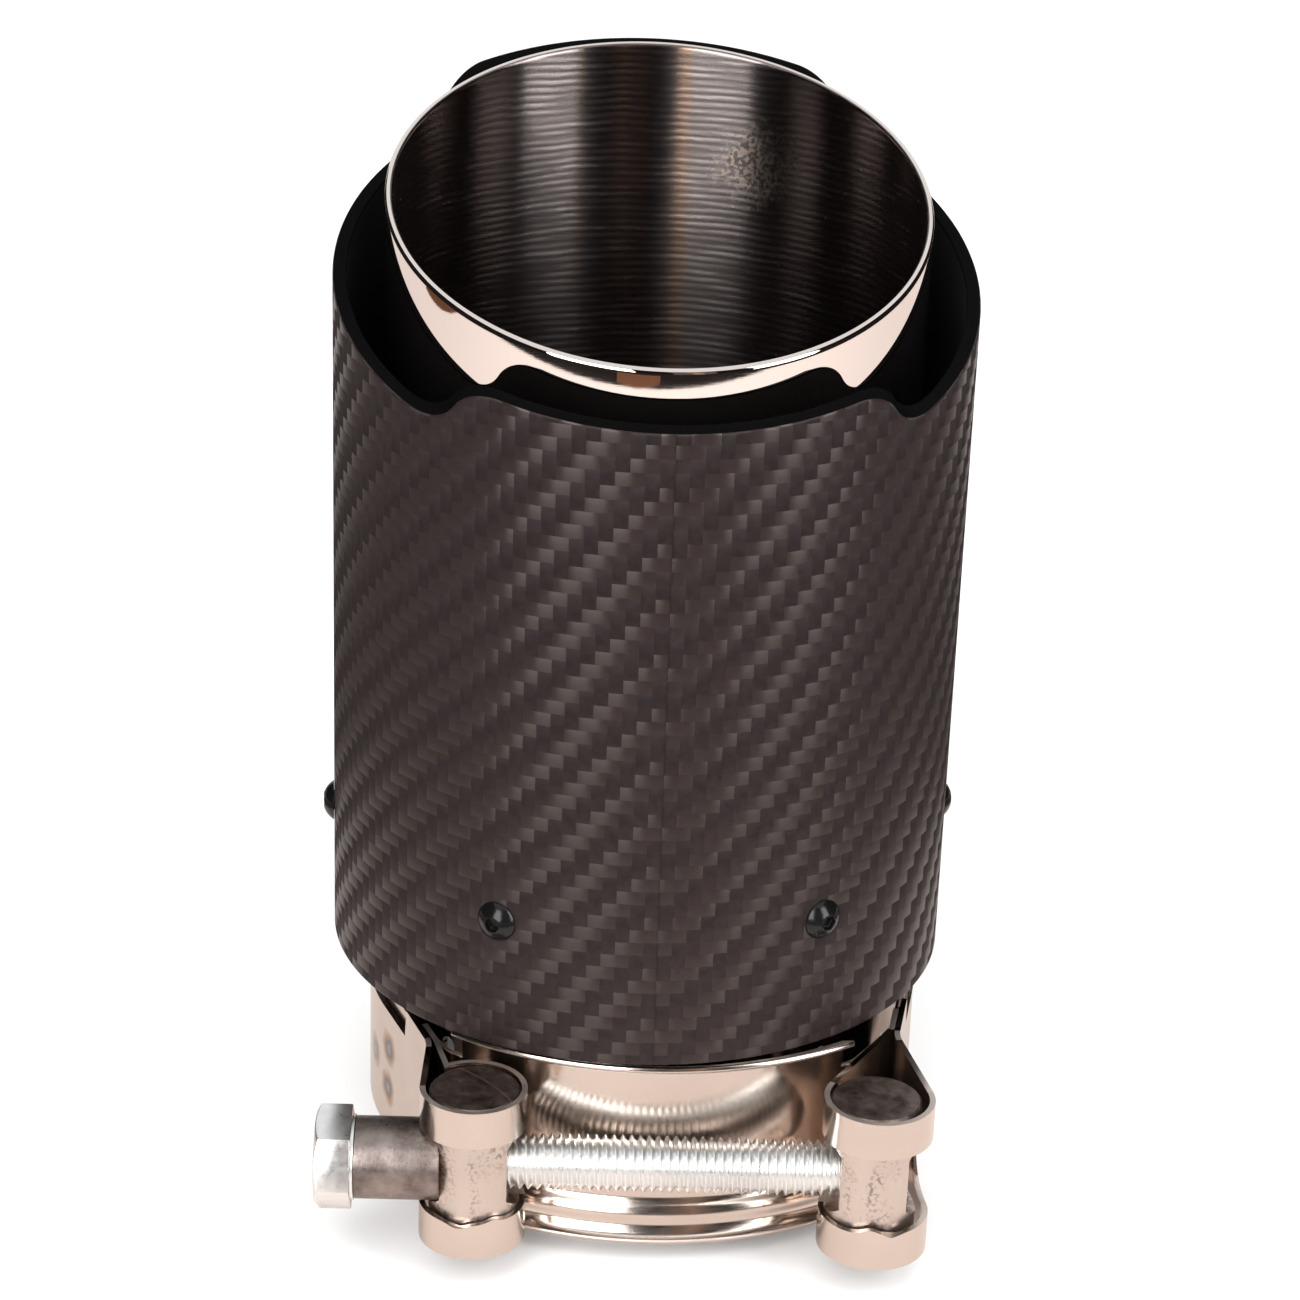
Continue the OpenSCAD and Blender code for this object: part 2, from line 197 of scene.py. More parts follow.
def standing(bm, foot, tall):
    # a wall card on a line of vertices along its foot
    edges = [bm.edges.new(pair) for pair in zip(foot, foot[1:])]
    made = bmesh.ops.extrude_edge_only(bm, edges=edges)["geom"]
    bmesh.ops.translate(bm, verts=madeVerts(made), vec=(0, 0, tall * mm))


def addReflections():
    room, top, shade, boxes = (studio[key] for key in ("room", "tableTop", "tableShade", "brownBoxes"))
    bm = bmesh.new()
    bmesh.ops.create_grid(bm, x_segments=1, y_segments=1, size=room["away"] * mm,
                          matrix=Matrix.Translation((0, 0, room["up"] * mm)))
    foot = ((-room["back"], -room["away"]), (room["away"], -room["away"]), (room["away"], room["away"]),
            (-room["back"], room["away"]))
    standing(bm, [bm.verts.new((x * mm, y * mm, 0)) for x, y in foot], room["tall"])
    addCard("darkRoom", room["colour"], bm)
    bm = bmesh.new()
    bmesh.ops.create_circle(bm, cap_ends=True, segments=96, radius=top["radius"] * mm,
                            matrix=Matrix.Translation((-top["back"] * mm, 0, top["up"] * mm)))
    addCard("tableTop", top["colour"], bm)
    bm = bmesh.new()
    side = [bm.verts.new((r * mm, 0, shade["up"] * mm)) for r in (shade["near"], shade["far"])]
    bmesh.ops.spin(bm, geom=side + [bm.edges.new(side)], cent=(0, 0, 0), axis=(0, 0, 1), angle=2 * pi,
                   steps=64, use_merge=True, use_duplicate=False)
    addCard("tableShade", shade["colour"], bm)
    bm = bmesh.new()
    for start, end, near, far in boxes["spans"]:
        corners = ((near, start), (far, start), (far, end), (near, end))
        bm.faces.new([bm.verts.new((r * cos(radians(a)) * mm, r * sin(radians(a)) * mm, boxes["up"] * mm))
                      for r, a in corners])
    addCard("brownBoxes", boxes["colour"], bm)
    for number, (start, end, colour) in enumerate(studio["wallStrips"]):
        away = room["away"] - studio["stripsInFront"] * (number + 1)
        bm = bmesh.new()
        foot = [bm.verts.new((away * mm, away * tan(radians(a)) * mm, 0)) for a in (start, end)]
        standing(bm, foot, room["tall"])
        addCard("wallStrip%d" % number, colour, bm)


addSky()
addSoftboxes()
addFloor()
addReflections()
bpy.context.scene.view_settings.view_transform = "Standard"
print("studio lit")


# Material helpers
def wire(tree, source, target):
    # A number or colour is set on the socket, and a socket is linked to it.
    if isinstance(source, bpy.types.NodeSocket):
        tree.links.new(source, target)
    else:
        target.default_value = source


def sums(tree, operation, *values):
    node = tree.nodes.new("ShaderNodeMath")
    node.operation = operation
    for value, socket in zip(values, node.inputs):
        wire(tree, value, socket)
    return node.outputs[0]


def blend(tree, share, low, high):
    node = tree.nodes.new("ShaderNodeMix")
    node.data_type = "RGBA"
    wire(tree, share, node.inputs["Factor"])
    wire(tree, low, node.inputs[6])
    wire(tree, high, node.inputs[7])
    return node.outputs[2]


def ramp(tree, value, low, high, toLow, toHigh):
    node = tree.nodes.new("ShaderNodeMapRange")
    wire(tree, value, node.inputs["Value"])
    for key, number in (("From Min", low), ("From Max", high), ("To Min", toLow), ("To Max", toHigh)):
        wire(tree, number, node.inputs[key])
    return node.outputs[0]


def place(tree, scale=(1, 1, 1), turn=(0, 0, 0), shift=(0, 0, 0)):
    coords = tree.nodes.new("ShaderNodeTexCoord")
    node = tree.nodes.new("ShaderNodeMapping")
    node.inputs["Scale"].default_value = scale
    node.inputs["Rotation"].default_value = turn
    node.inputs["Location"].default_value = shift
    tree.links.new(coords.outputs["Object"], node.inputs["Vector"])
    return node.outputs[0]


def noise(tree, vector, scale, detail=3.0, rough=0.5):
    node = tree.nodes.new("ShaderNodeTexNoise")
    wire(tree, vector, node.inputs["Vector"])
    node.inputs["Scale"].default_value = scale
    node.inputs["Detail"].default_value = detail
    node.inputs["Roughness"].default_value = rough
    return node.outputs[0]


def splitAxes(tree, vector):
    node = tree.nodes.new("ShaderNodeSeparateXYZ")
    tree.links.new(vector, node.inputs[0])
    return node.outputs


def joinAxes(tree, x, y, z):
    node = tree.nodes.new("ShaderNodeCombineXYZ")
    for value, socket in zip((x, y, z), node.inputs):
        wire(tree, value, socket)
    return node.outputs[0]


def relief(tree, height, distance):
    node = tree.nodes.new("ShaderNodeBump")
    node.inputs["Distance"].default_value = distance
    tree.links.new(height, node.inputs["Height"])
    return node.outputs[0]


def finishNamed(name, colour, metallic=0.0, roughness=0.5, normal=None, tangent=None, **fixed):
    # a function is given the node tree, and the last values are named as their sockets, with underscores
    material = bpy.data.materials.new(name)
    tree = nodeTree(material)
    shader = tree.nodes.new("ShaderNodeBsdfPrincipled")
    out = tree.nodes.new("ShaderNodeOutputMaterial")
    tree.links.new(shader.outputs[0], out.inputs["Surface"])
    build = {"Base Color": colour, "Metallic": metallic, "Roughness": roughness, "Normal": normal,
             "Tangent": tangent}
    for socket, value in build.items():
        if callable(value):
            value = value(tree)
        if value is not None:
            wire(tree, value, shader.inputs[socket])
    for socket, value in fixed.items():
        shader.inputs[socket.replace("_", " ")].default_value = value
    return material


def rgb(red, green, blue):
    return (red, green, blue, 1.0)


# Carbon weave
weave = {
    "tow": 1.95,  # pitch of the tows
    "tows": 146,  # round the sleeve
    "seam": -91.0,  # azimuth of the wrap's seam, degrees
    "crownLong": 0.17, "crownWide": 0.05,  # height of a tow along its float and across it
    "warp": rgb(0.0105, 0.0068, 0.0072), "weft": rgb(0.014, 0.0090, 0.0089),
    "dusty": rgb(0.024, 0.0165, 0.016),
    "warpRough": 0.66, "weftRough": 0.34,
    "seamWide": 0.3, "seamDark": 0.45, "seamColour": rgb(0.004, 0.003, 0.003),
}


def weaveParts(tree):
    # 2 x 2 twill: the weft runs round the sleeve and the warp along it
    x, y, z = splitAxes(tree, place(tree, turn=(0, 0, pi - radians(weave["seam"]))))
    around = sums(tree, "MULTIPLY", sums(tree, "ARCTAN2", y, x), weave["tows"] / (2 * pi))
    along = sums(tree, "DIVIDE", z, weave["tow"] * mm)
    row = sums(tree, "FLOOR", along)
    column = sums(tree, "FLOOR", around)
    weftPhase = sums(tree, "FLOORED_MODULO", sums(tree, "SUBTRACT", around, row), 4.0)
    weftTop = sums(tree, "LESS_THAN", weftPhase, 2.0)
    behind = sums(tree, "SUBTRACT", along, column)
    warpPhase = sums(tree, "FLOORED_MODULO", sums(tree, "ADD", behind, 3.0), 4.0)

    def crown(share, height):
        edge = sums(tree, "MULTIPLY_ADD", share, 2.0, -1.0)
        return sums(tree, "MULTIPLY", sums(tree, "SUBTRACT", 1.0, sums(tree, "MULTIPLY", edge, edge)), height)

    weftHeight = sums(tree, "ADD", crown(sums(tree, "MULTIPLY", weftPhase, 0.5), weave["crownLong"]),
                      crown(sums(tree, "FRACT", along), weave["crownWide"]))
    warpHeight = sums(tree, "ADD", crown(sums(tree, "MULTIPLY", warpPhase, 0.5), weave["crownLong"]),
                      crown(sums(tree, "FRACT", around), weave["crownWide"]))
    height = sums(tree, "ADD", sums(tree, "MULTIPLY", weftHeight, weftTop),
                  sums(tree, "MULTIPLY", warpHeight, sums(tree, "SUBTRACT", 1.0, weftTop)))
    return {"weftTop": weftTop, "height": height, "x": x, "y": y}


def carbonFinish():
    parts = {}

    def colour(tree):
        parts.update(weaveParts(tree))
        grain = noise(tree, place(tree), 900, 2.0)
        tone = blend(tree, parts["weftTop"], weave["warp"], weave["weft"])
        tone = blend(tree, ramp(tree, grain, 0.3, 0.7, 0.0, 0.35), tone, weave["dusty"])
        # the seam is on the side where this finish's own x is negative
        wide = weave["seamWide"] * mm
        line = ramp(tree, sums(tree, "ABSOLUTE", parts["y"]), 0.2 * wide, wide, weave["seamDark"], 0)
        front = sums(tree, "LESS_THAN", parts["x"], 0.0)
        return blend(tree, sums(tree, "MULTIPLY", line, front), tone, weave["seamColour"])

    def tangent(tree):
        # the rough direction lies across the fibres: up the sleeve on the weft, round it on the warp
        x, y, z = splitAxes(tree, place(tree))
        warpTop = sums(tree, "SUBTRACT", 1.0, parts["weftTop"])
        back = sums(tree, "MULTIPLY", y, -1.0)
        return joinAxes(tree, sums(tree, "MULTIPLY", back, warpTop), sums(tree, "MULTIPLY", x, warpTop),
                        parts["weftTop"])

    return finishNamed(
        "carbonWeave", colour,
        roughness=lambda tree: ramp(tree, parts["weftTop"], 0, 1, weave["warpRough"], weave["weftRough"]),
        normal=lambda tree: relief(tree, parts["height"], mm),
        tangent=tangent, Anisotropic=0.9, IOR=1.5, Specular_IOR_Level=0.5, Specular_Tint=rgb(1.0, 0.9, 0.86))


def blackFinish(name, tone, rough, grainScale, shine=0.5):
    return finishNamed(
        name,
        lambda tree: blend(tree, noise(tree, place(tree), grainScale, 4.0), rgb(*[0.6 * t for t in tone]),
                           rgb(*tone)),
        roughness=rough,
        normal=lambda tree: relief(tree, noise(tree, place(tree), grainScale, 4.0), 0.03 * mm), IOR=1.45,
        Specular_IOR_Level=shine)


carbonWeave = carbonFinish()
sleeveLining = blackFinish("sleeveLining", (0.009, 0.009, 0.0095), 0.62, 1400, shine=0.25)
sleeveEdge = blackFinish("sleeveEdge", (0.0025, 0.0022, 0.0022), 0.75, 1200, shine=0.03)


# Steel finishes
def brushed(name, tone, dark, rough, streak, grain=(40, 40, 900), bumpDepth=0.004, cloudy=60, pits=0.0,
            marks=None):
    def colour(tree):
        cloud = noise(tree, place(tree), cloudy, 4.0)
        made = blend(tree, ramp(tree, cloud, 0.35, 0.7, 0.0, 1.0), tone, dark)
        if pits:
            spots = noise(tree, place(tree), 1900, 2.0)
            patches = noise(tree, place(tree, scale=(1, 1, 0.4), shift=(0.3, 0.1, 0.2)), 260, 2.0)
            mask = sums(tree, "MULTIPLY", ramp(tree, spots, 0.5, 0.6, 0, 1),
                        ramp(tree, patches, 0.46, 0.62, 0, pits))
            made = blend(tree, mask, made, rgb(0.14, 0.095, 0.075))
        if marks:
            made = marks(tree, made)
        return made

    def roughness(tree):
        lines = noise(tree, place(tree, scale=grain), 8, 4.0)
        return ramp(tree, lines, 0.3, 0.7, rough, rough + streak)

    def normal(tree):
        return relief(tree, noise(tree, place(tree, scale=grain), 8, 3.0), bumpDepth * mm)

    return finishNamed(name, colour, metallic=1.0, roughness=roughness, normal=normal)


def distanceTo(tree, vector, point):
    node = tree.nodes.new("ShaderNodeVectorMath")
    node.operation = "DISTANCE"
    tree.links.new(vector, node.inputs[0])
    node.inputs[1].default_value = Vector(point) * mm
    return node.outputs["Value"]


welds = {
    "spots": ((-37.2, -14.9, 19.5), (-37.3, -14.5, 12.6), (-39.2, -8.0, 15.5)),
    "size": 1.8, "halo": 3.2, "rim": 0.4, "core": 0.2, "coreEnd": 1.1, "ragged": 1.6,
    "tint": rgb(0.32, 0.16, 0.06), "middle": rgb(0.26, 0.275, 0.28), "edge": rgb(0.12, 0.13, 0.145),
}
scratch = {
    "centre": (-42.45, -57.1, 0), "radius": 23.7, "half": 0.08, "fade": 0.22, "colour": rgb(0.45, 0.31, 0.24),
}


def weldMarks(tree, made):
    where = place(tree)
    near = 1.0
    for spot in welds["spots"]:
        near = sums(tree, "MINIMUM", near, distanceTo(tree, where, spot))
    ragged = welds["ragged"] * mm
    stray = sums(tree, "MULTIPLY_ADD", noise(tree, where, 500, 3.0), ragged, -ragged / 2)
    near = sums(tree, "ADD", near, stray)
    tint = ramp(tree, near, welds["size"] * mm, welds["halo"] * mm, 0.9, 0)
    made = blend(tree, tint, made, welds["tint"])
    nugget = ramp(tree, near, (welds["size"] - welds["rim"]) * mm, welds["size"] * mm, 1, 0)
    core = ramp(tree, near, welds["core"] * mm, welds["coreEnd"] * mm, 0, 1)
    return blend(tree, nugget, made, blend(tree, core, welds["middle"], welds["edge"]))


def topScratch(tree, made):
    x, y, z = splitAxes(tree, place(tree))
    away = distanceTo(tree, joinAxes(tree, x, y, 0.0), scratch["centre"])
    off = sums(tree, "ABSOLUTE", sums(tree, "SUBTRACT", away, scratch["radius"] * mm))
    line = ramp(tree, off, scratch["half"] * mm, scratch["fade"] * mm, 0.9, 0)
    return blend(tree, line, made, scratch["colour"])


polishedSteel = brushed("polishedSteel", rgb(0.74, 0.67, 0.64), rgb(0.73, 0.66, 0.63), 0.012, 0.01,
                        bumpDepth=0.0001)
bandSteel = brushed("bandSteel", rgb(0.665, 0.575, 0.515), rgb(0.59, 0.505, 0.45), 0.12, 0.08,
                    bumpDepth=0.002, marks=weldMarks)
# the cut edges of the strip: a rougher finish than the band, and painted lighter as a painted highlight
shearedHighlightSteel = brushed("shearedHighlightSteel", rgb(0.80, 0.71, 0.65), rgb(0.66, 0.58, 0.53), 0.42, 0.12,
                       bumpDepth=0.01)
# painted shade for the top edges of the tails under the sleeve
edgeShade = brushed("edgeShade", rgb(0.10, 0.085, 0.075), rgb(0.05, 0.04, 0.035), 0.4, 0.1)
trunnionSteel = brushed("trunnionSteel", rgb(0.64, 0.555, 0.50), rgb(0.52, 0.445, 0.40), 0.26, 0.12,
                        grain=(250, 250, 60), bumpDepth=0.008, pits=0.6)
# the trunnions' tops: the same steel painted darker, a painted reflection of the dark sleeve above them, with
# a real scratch
paintedTopReflection = brushed("paintedTopReflection", rgb(0.30, 0.235, 0.205), rgb(0.085, 0.065, 0.055), 0.38, 0.14,
                    grain=(200, 200, 200), bumpDepth=0.012, cloudy=420, marks=topScratch)
spacerSteel = brushed("spacerSteel", rgb(0.33, 0.28, 0.26), rgb(0.15, 0.12, 0.107), 0.26, 0.22,
                      grain=(250, 250, 250), bumpDepth=0.02, cloudy=300, pits=0.5)
zincSteel = brushed("zincSteel", rgb(0.90, 0.905, 0.90), rgb(0.79, 0.795, 0.79), 0.26, 0.10,
                    grain=(120, 120, 120), bumpDepth=0.003)
nutSteel = brushed("nutSteel", rgb(0.35, 0.34, 0.34), rgb(0.25, 0.24, 0.24), 0.35, 0.1)
blackScrew = blackFinish("blackScrew", (0.005, 0.005, 0.005), 0.2, 900, shine=0.4)
blackSteel = blackFinish("blackSteel", (0.010, 0.010, 0.011), 0.45, 700)


inside = {
    "ripple": 1.08,  # pitch of the rings left by polishing
    # brown vertical streaks down the inside wall, painted reflections
    "reflectionStreaks": ((89.4, 0.8, 0.5), (80.6, 3.0, 0.6), (104.0, 1.0, 0.3)),  # azimuth, half width, strength
    "smudge": (62.5, 141.5, 12.0, 7.5),  # azimuth, height, half width in degrees, half height
    # steel and cloud are the inside's colours, painted far darker than the outside's steel as painted shade
    "steel": rgb(0.25, 0.215, 0.205), "cloud": rgb(0.185, 0.158, 0.149), "reflectionBrown": rgb(0.29, 0.18, 0.12),
    "dust": rgb(0.25, 0.19, 0.15), "soot": rgb(0.025, 0.02, 0.018),
}


def insideFinish():
    def rings(tree):
        # rings of one pitch that wander and fade along the wall
        x, y, z = splitAxes(tree, place(tree))
        wander = sums(tree, "MULTIPLY", noise(tree, place(tree), 60, 2.0), 9.0)
        turns = sums(tree, "MULTIPLY_ADD", z, 2 * pi / (inside["ripple"] * mm), wander)
        wave = sums(tree, "MULTIPLY_ADD", sums(tree, "SINE", turns), 0.5, 0.5)
        fade = noise(tree, place(tree, scale=(130, 130, 500), shift=(0.1, 0.2, 0.3)), 1.0, 3.0)
        return sums(tree, "MULTIPLY", wave, ramp(tree, fade, 0.35, 0.65, 0.15, 1.0))

    def dust(tree):
        x, y, z = splitAxes(tree, place(tree))
        azimuth, height, wide, tall = inside["smudge"]
        side = sums(tree, "MULTIPLY_ADD", sums(tree, "ARCTAN2", y, x), degrees(1) / wide, -azimuth / wide)
        rise = sums(tree, "MULTIPLY_ADD", z, 1 / (tall * mm), -height / tall)
        square = sums(tree, "ADD", sums(tree, "MULTIPLY", side, side), sums(tree, "MULTIPLY", rise, rise))
        reach = sums(tree, "SQRT", square)
        patchy = noise(tree, place(tree), 420, 6.0, 0.7)
        thick = sums(tree, "SUBTRACT", sums(tree, "MULTIPLY", patchy, 2.0), reach)
        return ramp(tree, thick, 0.15, 0.55, 0, 1)

    def colour(tree):
        x, y, z = splitAxes(tree, place(tree))
        turn = sums(tree, "MULTIPLY", sums(tree, "ARCTAN2", y, x), degrees(1))
        cloud = noise(tree, place(tree), 45, 5.0)
        made = blend(tree, ramp(tree, cloud, 0.35, 0.65, 0, 1), inside["steel"], inside["cloud"])
        # painted reflections: brown vertical streaks at the given azimuths
        for azimuth, half, strength in inside["reflectionStreaks"]:
            off = sums(tree, "ABSOLUTE", sums(tree, "SUBTRACT", turn, azimuth))
            made = blend(tree, ramp(tree, off, 0.3 * half, half, strength, 0), made, inside["reflectionBrown"])
        specks = ramp(tree, noise(tree, place(tree, shift=(0.2, 0.4, 0.1)), 1700, 4.0), 0.47, 0.54, 0, 1)
        soot = blend(tree, specks, inside["dust"], inside["soot"])
        return blend(tree, sums(tree, "MULTIPLY", dust(tree), 0.7), made, soot)

    def roughness(tree):
        polish = ramp(tree, rings(tree), 0.0, 1.0, 0.2, 0.28)
        return sums(tree, "ADD", polish, sums(tree, "MULTIPLY", dust(tree), 0.12))

    def normal(tree):
        return relief(tree, rings(tree), 0.024 * mm)

    return finishNamed("shadedTubeInside", colour, metallic=1.0, roughness=roughness, normal=normal,
                       tangent=lambda tree: joinAxes(tree, 0.0, 0.0, 1.0), Anisotropic=0.9)


shadedTubeInside = insideFinish()
print("finishes made")


# Mesh helpers
def addPiece(name, bm, finishes, slotName, *cadNodes, soften=0.0, segments=2, sharp=35):
    mesh = bpy.data.meshes.new(name)
    bm.to_mesh(mesh)
    bm.free()
    for finish in finishes:
        mesh.materials.append(finish)
    piece = bpy.data.objects.new(name, mesh)
    bpy.context.scene.collection.objects.link(piece)
    if soften:
        edges = piece.modifiers.new("softEdges", "BEVEL")
        edges.width = soften * mm
        edges.segments = segments
        edges.limit_method = "ANGLE"
        edges.angle_limit = radians(sharp)
        weighted = piece.modifiers.new("trueNormals", "WEIGHTED_NORMAL")
        weighted.mode = "FACE_AREA"
        weighted.weight = 100
    mesh.shade_smooth()
    if not soften:
        mesh.set_sharp_from_angle(angle=radians(sharp))
    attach(piece, "root")
    if cadNodes:
        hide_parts(*cadNodes)


def tempObject(bm):
    mesh = bpy.data.meshes.new("scratch")
    bm.to_mesh(mesh)
    bm.free()
    item = bpy.data.objects.new("scratch", mesh)
    bpy.context.scene.collection.objects.link(item)
    return item


def finished(item):
    graph = bpy.context.evaluated_depsgraph_get()
    bm = bmesh.new()
    bm.from_mesh(item.evaluated_get(graph).to_mesh())
    old = item.data
    bpy.data.objects.remove(item)
    bpy.data.meshes.remove(old)
    return bm


def thickened(bm, thickness):
    # closes a sheet to its real thickness, half to each side
    item = tempObject(bm)
    wall = item.modifiers.new("wall", "SOLIDIFY")
    wall.thickness = thickness * mm
    wall.offset = 0
    wall.use_even_offset = True
    return finished(item)


def cutAway(bm, *cutters):
    item = tempObject(bm)
    tools = [tempObject(cutter) for cutter in cutters]
    for number, tool in enumerate(tools):
        cut = item.modifiers.new("cut%d" % number, "BOOLEAN")
        cut.operation = "DIFFERENCE"
        cut.solver = "EXACT"
        cut.object = tool
    result = finished(item)
    for tool in tools:
        old = tool.data
        bpy.data.objects.remove(tool)
        bpy.data.meshes.remove(old)
    return result


def rod(radius, start, end, axis="Z", segments=96, at=(0, 0, 0)):
    bm = bmesh.new()
    bmesh.ops.create_cone(bm, cap_ends=True, segments=segments, radius1=radius * mm, radius2=radius * mm,
                          depth=(end - start) * mm)
    bmesh.ops.translate(bm, verts=bm.verts, vec=(0, 0, (start + end) / 2 * mm))
    if axis == "X":
        bmesh.ops.rotate(bm, verts=bm.verts, matrix=Matrix.Rotation(pi / 2, 3, "Y"))
    bmesh.ops.translate(bm, verts=bm.verts, vec=Vector(at) * mm)
    return bm


def joined(*parts):
    whole = bmesh.new()
    for part in parts:
        mesh = bpy.data.meshes.new("scratch")
        part.to_mesh(mesh)
        part.free()
        whole.from_mesh(mesh)
        bpy.data.meshes.remove(mesh)
    return whole


# Sleeve
sleeve = {
    "radius": 45.3, "wall": 2.0, "bottom": 33.5, "mouth": 141.9, "slope": 19.0,
    "tongueHalf": 23.3, "curveWide": 11.9, "curveDrop": 7.1,
    "round": 720, "edgeRound": 0.3,
}


def rimProfile(x):
    # height of the rim across the slope: two flat tongues, S curves and lower sides
    half = atan(sleeve["curveDrop"] / sleeve["curveWide"])
    bend = sleeve["curveWide"] / (2 * sin(2 * half))
    out = abs(x) - sleeve["tongueHalf"]
    if out <= 0:
        return 0
    if out < sleeve["curveWide"] / 2:
        return sqrt(bend ** 2 - out ** 2) - bend
    back = sleeve["curveWide"] - out
    if back > 0:
        return bend - sqrt(bend ** 2 - back ** 2) - sleeve["curveDrop"]
    return -sleeve["curveDrop"]


def slopedRim(y, middle, profile=0.0):
    slope = radians(sleeve["slope"])
    return middle + y * tan(slope) + profile / cos(slope)


def wallOfTube(outer, inner, bottom, rimHeight, segments, soft, extra=()):
    # rings of vertices from the bottom edge up the outside, over the rim and down the inside
    def rounded(radius, side, onRim):
        # a quarter circle at one corner of the wall's section, with a ring just past it
        ring = []
        for step in range(cornerSteps + 1):
            turn = pi / 2 * step / cornerSteps
            ring.append((radius - side * soft * (1 - cos(turn)), soft * (1 - sin(turn)), onRim))
        ring.insert(0, (radius, 1.6 * soft, onRim))
        return ring

    cornerSteps = 5
    outside = rounded(outer, 1, False)[::-1] + [(outer, height, False) for height in extra]
    overRim = rounded(outer, 1, True) + rounded(inner, -1, True)[::-1]
    inside = rounded(inner, -1, False)
    rings = outside + overRim + inside
    bm = bmesh.new()
    bmesh.ops.create_circle(bm, cap_ends=False, segments=segments, radius=outer * mm)
    edges = bm.edges[:]
    for number, (radius, away, onRim) in enumerate(rings):
        if number:
            made = bmesh.ops.extrude_edge_only(bm, edges=edges)["geom"]
            edges = [g for g in made if isinstance(g, bmesh.types.BMEdge)]
            edges = [e for e in edges if e.is_boundary]
        for vert in {v for edge in edges for v in edge.verts}:
            flat = Vector((vert.co.x, vert.co.y)).normalized() * radius
            height = rimHeight(flat.x, flat.y) - away if onRim else bottom + away
            vert.co = Vector((flat.x, flat.y, height)) * mm
    bmesh.ops.bridge_loops(bm, edges=[e for e in bm.edges if e.is_boundary])
    bmesh.ops.recalc_face_normals(bm, faces=bm.faces)
    return bm


def addSleeve():
    outer = sleeve["radius"]
    inner = outer - sleeve["wall"]
    bm = wallOfTube(outer, inner, sleeve["bottom"],
                    lambda x, y: slopedRim(y, sleeve["mouth"], rimProfile(x)), sleeve["round"],
                    sleeve["edgeRound"])
    for face in bm.faces:
        middle = face.calc_center_median() / mm
        reach = Vector((middle.x, middle.y)).length
        if abs(face.normal.z) > 0.15 and reach < outer - 0.5 * sleeve["edgeRound"]:
            face.material_index = 2
        elif reach < (outer + inner) / 2:
            face.material_index = 1
    addPiece("carbonSleeve", bm, (carbonWeave, sleeveLining, sleeveEdge), "carbon_fibre", "carbon_sleeve")


addSleeve()
print("sleeve made")

# Tube
tube = {
    "radius": 38.1, "wall": 1.0, "mouth": 145.5, "slots": 4, "slotWide": 2.5, "slotLong": 27,
    "round": 480, "edgeRound": 0.42, "ringUp": 2, "cutDeep": 6, "cutBelow": 2,
}
clampTurn = -4.0
clampHeight = 18.15


def addTube():
    outer = tube["radius"]
    inner = outer - tube["wall"]
    bm = wallOfTube(outer, inner, 0, lambda x, y: slopedRim(y, tube["mouth"]), tube["round"],
                    tube["edgeRound"], extra=(tube["slotLong"] + tube["ringUp"],))
    # the inside and the inner part of the rim's rounding take the darker inside finish, painted shade
    for face in bm.faces:
        middle = face.calc_center_median() / mm
        reach = Vector((middle.x, middle.y)).length
        if reach < inner + 0.75 * tube["edgeRound"]:
            face.material_index = 1
    cutters = []
    end = tube["slotLong"] - tube["slotWide"] / 2
    deep, below = tube["cutDeep"], tube["cutBelow"]
    for number in range(tube["slots"]):
        slot = bmesh.new()
        bmesh.ops.create_cube(slot, size=1)
        bmesh.ops.scale(slot, verts=slot.verts, vec=(deep * mm, tube["slotWide"] * mm, (end + below) * mm))
        bmesh.ops.translate(slot, verts=slot.verts, vec=(outer * mm, 0, (end - below) / 2 * mm))
        tip = rod(tube["slotWide"] / 2, outer - deep / 2, outer + deep / 2, axis="X", segments=24,
                  at=(0, 0, end))
        turn = Matrix.Rotation(radians(clampTurn + (number + 0.5) * 360 / tube["slots"]), 3, "Z")
        for part in (slot, tip):
            bmesh.ops.rotate(part, verts=part.verts, matrix=turn)
            cutters.append(part)
    bm = cutAway(bm, *cutters)
    addPiece("innerTube", bm, (polishedSteel, shadedTubeInside), "polished_steel", "inner_tube")


addTube()
print("tube made")

# Plan paths of the clamp
band = {
    "inner": 39.5, "sheet": 0.85, "soft": 0.3, "play": 0.1, "cutFacing": 0.85, "cutArea": 6,
    # lower and upper edge: half height, then the radius and angle of each bend
    "edges": ((9.2, (1.7, 60)), (10.0, (0.7, 60))),
    "strapTall": 23.4, "thin": 0.04, "window": 12.2,
    "tailLow": -12.5, "tailHigh": 7.3, "tailStart": 9.5, "tailLap": 0.7, "tailTurn": 1.5,
    "leftWaves": ((-1.8, 1.6, -0.7), (3.2, 1.2, 0.5)),  # place, width and rise along a window's lower edge
    "rightWaves": ((-0.8, 1.6, 0.8), (2.2, 1.2, -0.4)),
    "leftLeave": 22, "leftStraight": 15, "leftFar": 4.5, "leftNeck": (0.3, -0.4), "rootAngle": 125,
    "rightLeave": 10, "rightStraight": 14, "rightFar": 5.5, "rightNear": 7.5,
    "foldGap": 0.05, "foldEnd": 9, "bend": 2.2, "neckBend": 7, "neckRun": 4, "lap": 0.5,
}
pin = {
    "size": 12.8, "tall": 23, "front": 45.95, "leftX": -22.3, "rightX": 33.7,
    "leftPlay": 0.3, "rightPlay": 0.55, "plainHole": 8.4, "threadHole": 8.1,
    "seatOff": 4.7, "seatSize": 12, "chamfer": 0.35, "edge": 0.1,
}
bandX = band["inner"] - tube["radius"] - band["play"]
bandMid = band["inner"] + band["sheet"] / 2
foldMid = band["inner"] + band["sheet"] * 1.5 + band["foldGap"]
leftLoopR = pin["size"] / 2 + pin["leftPlay"] + band["sheet"] / 2
